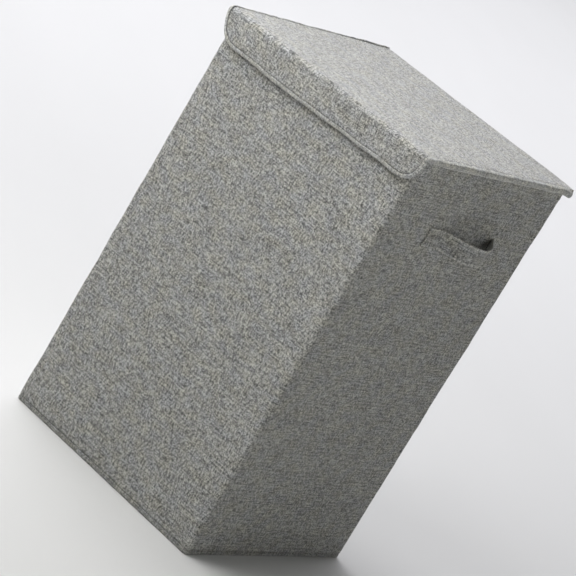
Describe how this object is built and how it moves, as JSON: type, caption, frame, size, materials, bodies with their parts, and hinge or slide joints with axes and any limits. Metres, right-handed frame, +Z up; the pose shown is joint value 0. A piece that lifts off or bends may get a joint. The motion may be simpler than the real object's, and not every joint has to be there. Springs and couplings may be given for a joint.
{
  "type": "laundry hamper",
  "caption": "Folding fabric laundry hamper with a hinged lid, a front flap, side strap handles and a loose base board; its side walls crease inwards.",
  "frame": {"origin": "middle of the underside, on the surface the hamper stands on", "axes": "+Z up; the front with the flap faces -Y; +X is the right side seen from the front"},
  "size_m": [0.4162, 0.3676, 0.605],
  "materials": {
    "cover_fabric": "heathered plain weave, matt",
    "lining_fabric": "plain non-woven lining, matt",
    "binding_fabric": "plain weave tape and piping, matt",
    "strap_fabric": "folded plain weave strap with stitched hems",
    "bottom_fabric": "plain weave, matt",
    "board": "raw greyboard"
  },
  "bodies": {
    "back_wall": {"back_board": "board", "back_cover": "cover_fabric", "back_lining": "lining_fabric", "bottom_cloth": "bottom_fabric", "lid_hinge_cloth": "cover_fabric"},
    "right_rear": {"right_rear_board": "board", "right_rear_cover": "cover_fabric", "right_rear_lining": "lining_fabric", "right_rear_rim_binding": "binding_fabric", "right_rear_handle_patch": "strap_fabric", "right_handle_strap": "strap_fabric"},
    "right_front": {"right_front_board": "board", "right_front_cover": "cover_fabric", "right_front_lining": "lining_fabric", "right_front_rim_binding": "binding_fabric", "right_front_handle_patch": "strap_fabric"},
    "front_wall": {"front_board": "board", "front_cover": "cover_fabric", "front_lining": "lining_fabric", "front_rim_binding": "binding_fabric"},
    "left_front": {"left_front_board": "board", "left_front_cover": "cover_fabric", "left_front_lining": "lining_fabric", "left_front_rim_binding": "binding_fabric", "left_front_handle_patch": "strap_fabric"},
    "left_rear": {"left_rear_board": "board", "left_rear_cover": "cover_fabric", "left_rear_lining": "lining_fabric", "left_rear_rim_binding": "binding_fabric", "left_rear_handle_patch": "strap_fabric", "left_handle_strap": "strap_fabric"},
    "lid": {"lid_board": "board", "lid_cover": "cover_fabric", "lid_lining": "lining_fabric", "lid_right_piping": "binding_fabric", "lid_left_piping": "binding_fabric", "flap_fold_cloth": "cover_fabric"},
    "flap": {"flap_board": "board", "flap_cover": "cover_fabric", "flap_lining": "lining_fabric", "flap_piping": "binding_fabric"},
    "base": {"base_board": "board", "base_top_cover": "lining_fabric", "base_under_cover": "lining_fabric"}
  },
  "joints": [
    {"name": "fold", "type": "hinge", "parent": "back_wall", "child": "right_rear", "pos_m": [0.171, 0.163, 0.007], "axis": [0, 0, -1], "range_deg": [0, 86], "deforming": ["bottom_cloth"]},
    {"name": "right_crease", "type": "hinge", "parent": "right_rear", "child": "right_front", "pos_m": [0.1758, -0.0024, 0.007], "axis": [0, 0, 1], "range_deg": [0, 172], "deforming": ["right_handle_strap"]},
    {"name": "right_front_corner", "type": "hinge", "parent": "right_front", "child": "front_wall", "pos_m": [0.171, -0.1678, 0.007], "axis": [0, 0, -1], "range_deg": [0, 86]},
    {"name": "left_front_corner", "type": "hinge", "parent": "front_wall", "child": "left_front", "pos_m": [-0.171, -0.1678, 0.007], "axis": [0, 0, -1], "range_deg": [0, 86]},
    {"name": "left_crease", "type": "hinge", "parent": "left_front", "child": "left_rear", "pos_m": [-0.1758, -0.0024, 0.007], "axis": [0, 0, 1], "range_deg": [0, 172], "deforming": ["left_handle_strap"]},
    {"name": "lid_hinge", "type": "hinge", "parent": "back_wall", "child": "lid", "pos_m": [0, 0.18, 0.6015], "axis": [-1, 0, 0], "range_deg": [0, 265], "deforming": ["lid_hinge_cloth"]},
    {"name": "flap_hinge", "type": "hinge", "parent": "lid", "child": "flap", "pos_m": [0, -0.176, 0.598], "axis": [-1, 0, 0], "range_deg": [0, 90], "deforming": ["flap_fold_cloth"]},
    {"name": "base_lift", "type": "hinge", "parent": "back_wall", "child": "base", "pos_m": [0, 0.1661, 0.001], "axis": [-1, 0, 0], "range_deg": [0, 90]}
  ],
  "couplings": [
    {"joint": "right_crease", "follows": "fold", "ratio": 2},
    {"joint": "right_front_corner", "follows": "fold", "ratio": 1},
    {"joint": "left_front_corner", "follows": "fold", "ratio": 1},
    {"joint": "left_crease", "follows": "fold", "ratio": 2}
  ]
}
